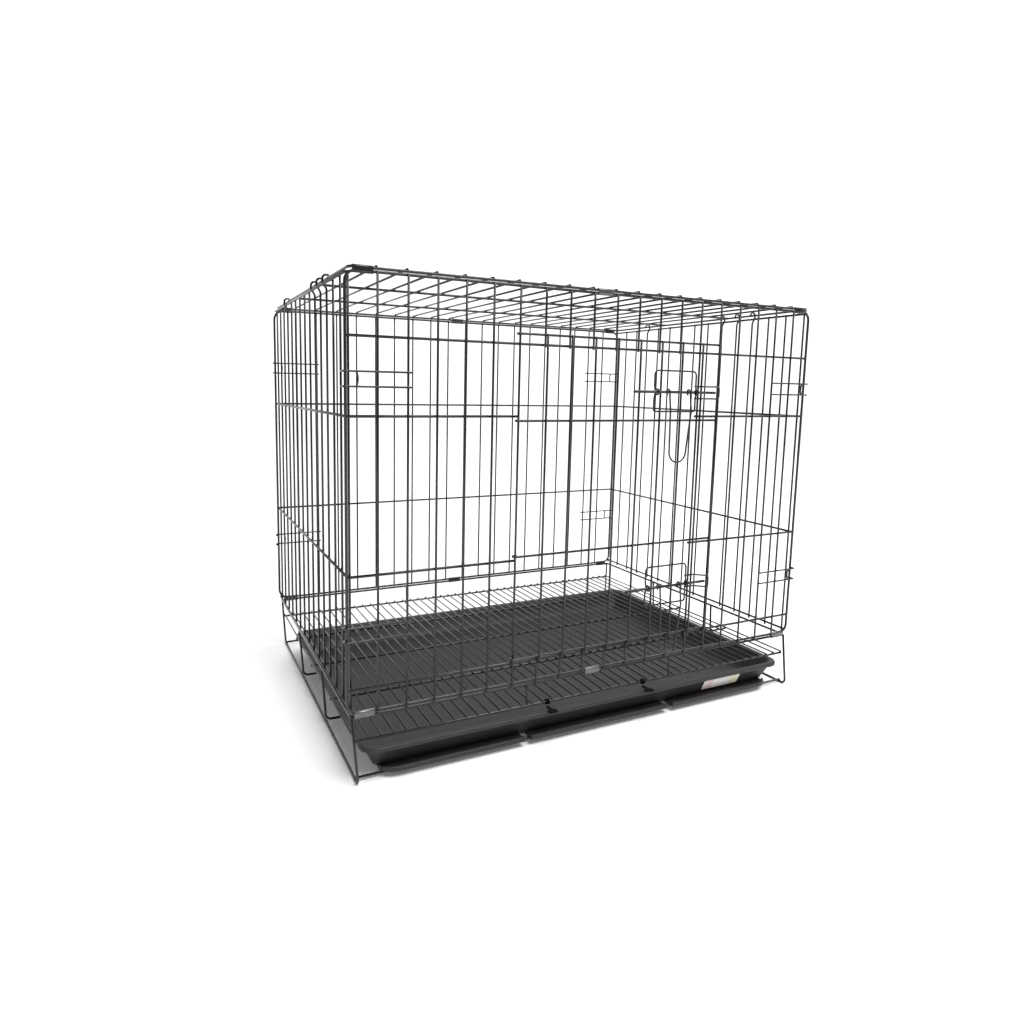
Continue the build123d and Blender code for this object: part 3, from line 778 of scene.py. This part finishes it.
def rolled_clip(mesh, middle_x, y, low_z, high_z, opening, bore, slot):
    """A strip of sheet rolled round two parallel wires and left open on one side."""
    across, up = (0, opening, 0), (0, 0, 1)
    low, high = (0, y, low_z), (0, y, high_z)

    def outline(inset):
        outer, inner = bore + CLIP_SHEET - inset, bore + inset
        return (
            arc(low, across, up, outer, -40, -180, 12) + arc(high, across, up, outer, 180, 40, 12)
            + arc(high, across, up, inner, 40, 180, 12) + arc(low, across, up, inner, -180, -40, 12)
        )

    broken = 0.2 * CLIP_SHEET
    flush = CLIP_HALF - broken
    rings = []
    for offset, inset in ((-CLIP_HALF, broken), (-flush, 0.0), (flush, 0.0), (CLIP_HALF, broken)):
        rings.append([mesh.verts.new((middle_x + offset, point.y, point.z)) for point in outline(inset)])
    faces = skin(mesh, rings)
    for ring in (rings[0], rings[-1]):
        for index in range(len(ring) // 2 - 1):
            corners = (ring[index], ring[index + 1], ring[-2 - index], ring[-1 - index])
            faces.append(mesh.faces.new(corners))
    for face in faces:
        face.material_index = slot


class CRATE_OT_clips(bpy.types.Operator):
    """Roll the sheet clips that join the panels along the top and the bottom"""

    bl_idname = "crate.clips"
    bl_label = "Clips"

    def execute(self, context):
        wires = context.scene.crate_wires
        lines = Lines(wires)
        bore = wires.rail / 2 + 0.15 * MM
        for name, y, opening, low_z, high_z, coated in (
            ("front_bottom", lines.front_rail_y, 1, lines.rim_z, lines.foot_z, (0, 0, 0)),
            ("back_bottom", lines.back_rail_y, -1, lines.rim_z, lines.foot_z, (0, 0, 0)),
            ("front_top", lines.front_rail_y, 1, lines.head_z, lines.roof_z, (1, 0, 1)),
            ("back_top", lines.back_rail_y, -1, lines.head_z, lines.roof_z, (1, 0, 1)),
        ):
            low, high = box_of(f"{name}_clips")
            mesh = bmesh.new()
            for x, slot in zip((low.x + CLIP_HALF, -0.5 * wires.pitch, high.x - CLIP_HALF), coated):
                rolled_clip(mesh, x, y, low_z, high_z, opening, bore, slot)
            extra = ("coated_wire",)
            finished_piece(f"{name}_rolled_clips", mesh, "root", (f"{name}_clips",), "clip_steel", extra)
        return {"FINISHED"}


# ------------------------------------------------------------------ door, bolts and keepers

class CRATE_OT_door(bpy.types.Operator):
    """Build the door: rails curled round the hinge upright, eight uprights and the closing post"""

    bl_idname = "crate.door"
    bl_label = "Door"

    def execute(self, context):
        wires = context.scene.crate_wires
        lines = Lines(wires)
        low, high = box_of("door_panel")
        hinge = Vector((-4 * wires.pitch, lines.front_upright_y, 0))
        ring = -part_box("door_hinge_eyes")[0][1] + hinge.y - 1.05 * MM
        rail_y = hinge.y - ring
        upright_y = low.y + wires.upright / 2
        post = middle("door_closing_post")
        mesh = bmesh.new()
        for z in wires.door_rails:
            hub = (hinge.x, hinge.y, z)
            curl = arc(hub, (1, 0, 0), (0, 1, 0), ring, -90, -338, 18)
            wire(mesh, [(high.x, rail_y, z), *curl], wires.door_rail)
            weld(mesh, (post.x, rail_y - wires.door_rail / 2, z), (0.0018, 0.0008, 0.0016))
        for index in range(1, 9):
            x = hinge.x + index * wires.pitch
            wire(mesh, [(x, upright_y, low.z), (x, upright_y, high.z)], wires.upright)
            for z in wires.door_rails:
                weld(mesh, (x, upright_y + wires.upright / 2, z), PANEL_BEAD)
        finished_piece("door_wires", mesh, "door", ("door_panel", "door_hinge_eyes"), "coated_wire")
        low, high = box_of("door_closing_post")
        mesh = bmesh.new()
        wire(mesh, [(post.x, post.y, low.z), (post.x, post.y, high.z)], wires.post)
        finished_piece("door_post", mesh, "door", ("door_closing_post",), "coated_wire")
        return {"FINISHED"}


class CRATE_OT_slide_bolts(bpy.types.Operator):
    """Bend each slide bolt with its frame and guides, its hanging handle, and its keeper"""

    bl_idname = "crate.slide_bolts"
    bl_label = "Slide bolts"

    def execute(self, context):
        wires = context.scene.crate_wires
        for name in ("upper", "lower"):
            self.frame_and_guides(wires, name)
            self.bolt(wires, name)
            self.handle(wires, name)
            self.keeper(wires, name)
        return {"FINISHED"}

    def frame_and_guides(self, wires, name):
        low, high = box_of(f"{name}_latch_frame")
        rod = middle(f"{name}_bolt")
        inset = wires.hook / 2
        left, right = low.x + inset, high.x - inset
        top, bottom = high.z - inset, low.z + inset
        y = (low.y + high.y) / 2
        left_waist, right_waist = left + 1.6 * MM, right + 1.2 * MM
        mesh = bmesh.new()
        above, below = rod.z + 7 * MM, rod.z - 7 * MM
        route = [
            (left, y, top), (left, y, above), (left_waist, y, rod.z), (left, y, below), (left, y, bottom),
            (right, y, bottom), (right, y, below), (right_waist, y, rod.z), (right, y, above), (right, y, top),
        ]
        corners = [5 * MM, 4 * MM, 3 * MM, 4 * MM, 2.5 * MM]
        wire(mesh, bend(route, corners + corners[::-1], closed=True), wires.hook, closed=True)
        guide_low, guide_high = box_of(f"{name}_bolt_guides")
        ring = (guide_high.z - guide_low.z - LATCH_WIRE) / 2
        for x in (guide_low.x + LATCH_WIRE / 2, guide_high.x - LATCH_WIRE / 2):
            loop = arc((x, rod.y, rod.z), (0, 1, 0), (0, 0, 1), ring, 0, 360, 24)[:-1]
            wire(mesh, loop, LATCH_WIRE, closed=True)
            weld(mesh, (x, y - 0.4 * wires.hook, rod.z), (0.0013, 0.0009, 0.0016))
        nodes = (f"{name}_latch_frame", f"{name}_bolt_guides")
        finished_piece(f"{name}_bolt_frame", mesh, "door", nodes, "coated_wire")

    def bolt(self, wires, name):
        low, high = box_of(f"{name}_bolt")
        rod = (low + high) / 2
        mesh = bmesh.new()
        wire(mesh, [(low.x, rod.y, rod.z), (high.x, rod.y, rod.z)], wires.bolt)
        finished_piece(f"{name}_bolt_rod", mesh, f"{name}_bolt", (f"{name}_bolt",), "coated_wire")

    def handle(self, wires, name):
        rod = middle(f"{name}_bolt")
        low, high = box_of(f"{name}_bolt_handle")
        left, right = low.x + LATCH_WIRE / 2, high.x - LATCH_WIRE / 2
        ring = wires.bolt / 2 + wires.play + LATCH_WIRE / 2
        bow = 12 * MM
        centre = (left + right) / 2
        bow_z = low.z + wires.hook / 2 + bow
        knee_y, bow_y = rod.y - 5.5 * MM, rod.y - 3 * MM
        forward, up = (0, -1, 0), (0, 0, 1)

        def leg(x, foot_x):
            hub = (x, rod.y, rod.z)
            neck = [
                (x, rod.y - ring, rod.z), (x, rod.y - ring, rod.z - 3 * MM),
                (x, knee_y, rod.z - 22 * MM), (foot_x, bow_y, bow_z),
            ]
            return arc(hub, forward, up, ring, 258, 0) + bend(neck, [3 * MM, 12 * MM])[1:]

        mesh = bmesh.new()
        end = arc((centre, bow_y, bow_z), (-1, 0, 0), (0, 0, -1), bow, 0, 180, 16)
        route = leg(left, centre - bow)[:-1] + end + leg(right, centre + bow)[::-1][1:]
        wire(mesh, route, wires.hook)
        finished_piece(f"{name}_handle_wire", mesh, f"{name}_handle", (f"{name}_bolt_handle",), "coated_wire")

    def keeper(self, wires, name):
        low, high = box_of(f"{name}_keeper")
        inset = wires.hook / 2
        bottom, top = low.z + inset, high.z - inset
        back_y, tie_y = high.y - inset, low.y + inset
        tie_x = high.x - inset
        mesh = bmesh.new()
        route = [
            (low.x, back_y, top), (low.x + 14 * MM, back_y, top), (tie_x, tie_y, top),
            (tie_x, tie_y, bottom), (low.x + 14 * MM, back_y, bottom), (low.x, back_y, bottom),
        ]
        wire(mesh, bend(route, 3 * MM), wires.hook)
        for z in (bottom, top):
            weld(mesh, (4 * wires.pitch, back_y + inset, z), HOOK_BEAD)
        finished_piece(f"{name}_keeper_wire", mesh, "root", (f"{name}_keeper",), "coated_wire")


# ------------------------------------------------------------------ tray, label and catches

def rounded_rectangle(half_x, half_y, radius, steps=10):
    """Points round a rectangle with rounded corners, as (x, y)."""
    points = []
    for start, x, y in ((0, 1, 1), (90, -1, 1), (180, -1, -1), (270, 1, -1)):
        hub = (x * (half_x - radius), y * (half_y - radius), 0)
        quarter = arc(hub, (1, 0, 0), (0, 1, 0), radius, start, start + 90, steps)
        points += [(point.x, point.y) for point in quarter]
    return points


class CRATE_OT_tray(bpy.types.Operator):
    """Press the slide-out tray: sloping walls, a turned-down rim and two broken foot bars"""

    bl_idname = "crate.tray"
    bl_label = "Tray"

    def execute(self, context):
        low, high = box_of("tray")
        centre = (low + high) / 2
        half_x, half_y = (high.x - low.x) / 2, (high.y - low.y) / 2
        floor, top = low.z / MM, high.z / MM
        section = (  # inset from the rim, height and corner radius, from the underside over the rim
            (60, floor, 8), (20, floor, 8), (17.8, floor + 0.3, 8.5), (16.8, floor + 1.2, 9),
            (10.7, top - 15.5, 11.5), (5.0, top - 2.9, 14), (4.0, top - 2.3, 15), (2.9, top - 2.4, 15.6),
            (2.3, top - 3.0, 16), (2.1, top - 4.4, 16), (1.1, top - 5.0, 17), (0.2, top - 4.6, 17.8),
            (0, top - 3.8, 18), (0, top - 1.2, 18), (0.5, top - 0.3, 17.6), (1.4, top, 17),
            (5.2, top, 14.5), (6.4, top - 0.4, 14), (7.3, top - 1.6, 13.6), (12.9, top - 14.0, 11),
            (18.0, floor + 5.4, 9), (20.4, floor + 3.0, 8), (25, floor + 2.3, 7.5), (60, floor + 2.2, 7),
        )
        mesh = bmesh.new()
        rings = []
        for inset, z, radius in section:
            outline = rounded_rectangle(half_x - inset * MM, half_y - inset * MM, radius * MM)
            rings.append([mesh.verts.new((centre.x + x, centre.y + y, z * MM)) for x, y in outline])
        solid_skin(mesh, rings)
        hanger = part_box("grid_hangers")[1][0] - 1.2 * MM
        gap = 4 * MM
        end = half_x - 40 * MM
        for y, inward in ((low.y, 1), (high.y, -1)):
            for left, right in ((-end, -hanger - gap), (-hanger + gap, hanger - gap), (hanger + gap, end)):
                outer = -1 if left == -end else int(right == end)
                self.foot_flange(mesh, centre.x + left, centre.x + right, y, inward, low.z, outer)
        tray = finished_piece("tray_pan", mesh, "tray", ("tray",), "tray_plastic")
        tray.data.set_sharp_from_angle(angle=math.radians(80))
        return {"FINISHED"}

    def foot_flange(self, mesh, left, right, y, inward, z, outer):
        """A flange on the underside, its edge turned up, swept back to the wall at an outer end."""
        depth = 18.2
        profile = (
            (0.6, 0.0), (depth, 0.0), (depth, 2.2), (4.9, 2.2), (4.3, 2.4), (4.0, 2.9), (4.0, 4.3),
            (3.7, 4.8), (3.2, 5.0), (0.8, 5.0), (0.3, 4.8), (0.0, 4.3), (0.0, 0.6), (0.2, 0.2),
        )
        stations = [(left, 0.4), (left + 0.6 * MM, 0.5), (right - 0.6 * MM, 0.5), (right, 0.4)]
        swept = [(20 * MM, 12.0), (18 * MM, 8.0), (14 * MM, 4.5), (9 * MM, 2.0), (4 * MM, 0.9)]
        if outer < 0:
            stations[0:1] = [(left - beyond, back) for beyond, back in swept]
        elif outer > 0:
            stations[-1:] = [(right + beyond, back) for beyond, back in reversed(swept)]
        rings = []
        for x, back in stations:
            squeeze = (depth - max(back, 0.5)) / depth
            ring = []
            for across, up in profile:
                ring.append(mesh.verts.new((x, y + inward * (back + across * squeeze) * MM, z + up * MM)))
            rings.append(ring)
        solid_skin(mesh, rings)


class CRATE_OT_label(bpy.types.Operator):
    """Stick the paper label on the tray's front wall"""

    bl_idname = "crate.label"
    bl_label = "Label"

    def execute(self, context):
        low, high = box_of("tray_label")
        centre = (low + high) / 2
        slope = Vector((0, low.y - high.y, high.z - low.z)).normalized()
        outward = Vector((0, -slope.z, slope.y))
        half_width, half_height = (high.x - low.x) / 2, (high.z - low.z) / 2 / slope.z
        mesh = bmesh.new()
        outline = rounded_rectangle(half_width, half_height, 2 * MM, 6)
        rings = []
        for height, inset in ((-0.25, 0.0), (0.05, 0.0), (0.15, 0.25)):
            scale = 1 - inset * MM / half_height
            ring = []
            for x, y in outline:
                point = centre + Vector((x * scale, 0, 0)) + slope * y * scale + outward * height * MM
                ring.append(mesh.verts.new(point))
            rings.append(ring)
        solid_skin(mesh, rings)
        finished_piece("tray_paper_label", mesh, "tray", ("tray_label",), "label")
        return {"FINISHED"}


class CRATE_OT_catches(bpy.types.Operator):
    """Mould the two arrow-headed catches that flip down over the tray's rim"""

    bl_idname = "crate.catches"
    bl_label = "Tray catches"

    def execute(self, context):
        wires = context.scene.crate_wires
        lines = Lines(wires)
        for name in ("left", "right"):
            low, high = box_of(f"{name}_tray_catch")
            x = (low.x + high.x) / 2
            root_y, tip_y = lines.front_rail_y - 1 * MM, low.y
            reach = root_y - tip_y
            hub_z = high.z - wires.rail / 2 - wires.play - 1.4 * MM
            blade_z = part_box("tray")[1][2] + 2.2 * MM
            outline = [
                (-1.6, 0.0), (-1.6, 0.52), (-6.0, 0.68), (-4.6, 1.0),
                (4.6, 1.0), (6.0, 0.68), (1.6, 0.52), (1.6, 0.0),
            ]
            outline = [(x + across * MM, root_y - along * reach) for across, along in outline]
            mesh = bmesh.new()
            rings = []
            for z in (blade_z, blade_z + 1.6 * MM):
                rings.append([mesh.verts.new((*corner, z)) for corner in outline])
            solid_skin(mesh, rings)
            edges = list(mesh.edges)
            bmesh.ops.bevel(mesh, geom=edges, offset=0.45 * MM, segments=3, profile=0.5, affect="EDGES")
            thickness = 1.4 * MM
            radius = wires.rail / 2 + wires.play + thickness / 2
            for offset in (-1.8, -0.6, 0.6, 1.8):
                hub = (x + offset * MM, lines.front_rail_y, hub_z)
                loop = arc(hub, (0, 1, 0), (0, 0, 1), radius, 0, 360, 24)[:-1]
                wire(mesh, loop, thickness, closed=True)
            nodes = (f"{name}_tray_catch",)
            finished_piece(f"{name}_catch_moulding", mesh, f"{name}_catch", nodes, "catch_plastic")
        return {"FINISHED"}


# ------------------------------------------------------------------ stage

class CRATE_OT_stage(bpy.types.Operator):
    """Lay the pale floor, and set the soft lights and the camera"""

    bl_idname = "crate.stage"
    bl_label = "Stage"

    def execute(self, context):
        stage = context.scene.crate_stage
        mesh = bmesh.new()
        bmesh.ops.create_grid(mesh, x_segments=8, y_segments=8, size=14.0)
        data = bpy.data.meshes.new("stage_floor")
        mesh.to_mesh(data)
        mesh.free()
        data.materials.append(floor_paint(stage))
        floor = bpy.data.objects.new("stage_floor", data)
        context.collection.objects.link(floor)
        context.scene.view_settings.view_transform = "Standard"
        self.sky(stage)
        self.lamp("key_light", (0.30, -1.2, 2.6), 1.8, stage.key)
        self.lamp("fill_light", (1.9, 0.9, 2.6), 1.6, stage.fill)
        self.camera(context.scene, stage)
        return {"FINISHED"}

    def sky(self, stage):
        """White surroundings that darken overhead and in front, so that wires shade off."""
        surroundings = Surroundings("soft_surroundings")
        overhead = surroundings.eased(surroundings.height(), 0.2, 0.95, 1.0, stage.zenith)
        behind = surroundings.eased(surroundings.towards((0.45, 0.89, 0.0)), -0.3, 0.7, stage.front, 1.0)
        seen = surroundings.node("ShaderNodeLightPath", output="Is Camera Ray")
        lit = overhead * behind * stage.sky
        strength = lit.sum("MAXIMUM", lit, seen * stage.sky)
        surroundings.set("Strength", strength)
        bpy.context.scene.world = surroundings.world

    def lamp(self, name, place, size, power):
        light = bpy.data.lights.new(name, "AREA")
        light.size = size
        light.energy = power
        lamp = bpy.data.objects.new(name, light)
        lamp.location = place
        lamp.rotation_euler = (Vector((0, 0, 0.2)) - Vector(place)).to_track_quat("-Z", "Y").to_euler()
        bpy.context.collection.objects.link(lamp)

    def camera(self, scene, stage):
        yaw, pitch, roll = stage.turn
        ahead = Vector((math.sin(yaw) * math.cos(pitch), math.cos(yaw) * math.cos(pitch), math.sin(pitch)))
        right = Vector((math.cos(yaw), -math.sin(yaw), 0))
        up = right.cross(ahead)
        lean, stand = math.sin(roll), math.cos(roll)
        right, up = right * stand + up * lean, up * stand - right * lean
        lens = bpy.data.cameras.new("crate_camera")
        lens.sensor_width = 36.0
        lens.lens = stage.lens
        lens.shift_x, lens.shift_y = stage.shift
        lens.clip_start = 0.02
        camera = bpy.data.objects.new("crate_camera", lens)
        facing = Matrix((right, up, -ahead)).transposed().to_4x4()
        camera.matrix_world = Matrix.Translation(stage.eye) @ facing
        bpy.context.collection.objects.link(camera)
        scene.camera = camera


# ------------------------------------------------------------------ panel and start

BUILD_ORDER = (
    CRATE_OT_base, CRATE_OT_floor_grid, CRATE_OT_front_panel, CRATE_OT_back_panel, CRATE_OT_roof,
    CRATE_OT_end_panels, CRATE_OT_corner_hooks, CRATE_OT_clips, CRATE_OT_door, CRATE_OT_slide_bolts,
    CRATE_OT_tray, CRATE_OT_label, CRATE_OT_catches, CRATE_OT_stage,
)


class CRATE_PT_sidebar(bpy.types.Panel):
    """Lists the crate's parts and the sizes and colours they are made with"""

    bl_idname = "CRATE_PT_sidebar"
    bl_label = "Crate"
    bl_space_type = "VIEW_3D"
    bl_region_type = "UI"
    bl_category = "Crate"

    def draw(self, context):
        layout = self.layout
        for operator in BUILD_ORDER:
            layout.operator(operator.bl_idname)
        for settings in (context.scene.crate_wires, context.scene.crate_finishes, context.scene.crate_stage):
            box = layout.box()
            for name in settings.bl_rna.properties.keys():
                if name not in ("name", "rna_type"):
                    box.prop(settings, name)


CLASSES = (CrateWires, CrateFinishes, CrateStage, *BUILD_ORDER, CRATE_PT_sidebar)


def register():
    for cls in CLASSES:
        bpy.utils.register_class(cls)
    bpy.types.Scene.crate_wires = PointerProperty(type=CrateWires)
    bpy.types.Scene.crate_finishes = PointerProperty(type=CrateFinishes)
    bpy.types.Scene.crate_stage = PointerProperty(type=CrateStage)


def unregister():
    del bpy.types.Scene.crate_stage
    del bpy.types.Scene.crate_finishes
    del bpy.types.Scene.crate_wires
    for cls in reversed(CLASSES):
        bpy.utils.unregister_class(cls)


def main():
    """Build the crate and its stage."""
    register()
    for operator in BUILD_ORDER:
        getattr(bpy.ops.crate, operator.bl_idname.removeprefix("crate."))()


if __name__ == "__main__":
    main()
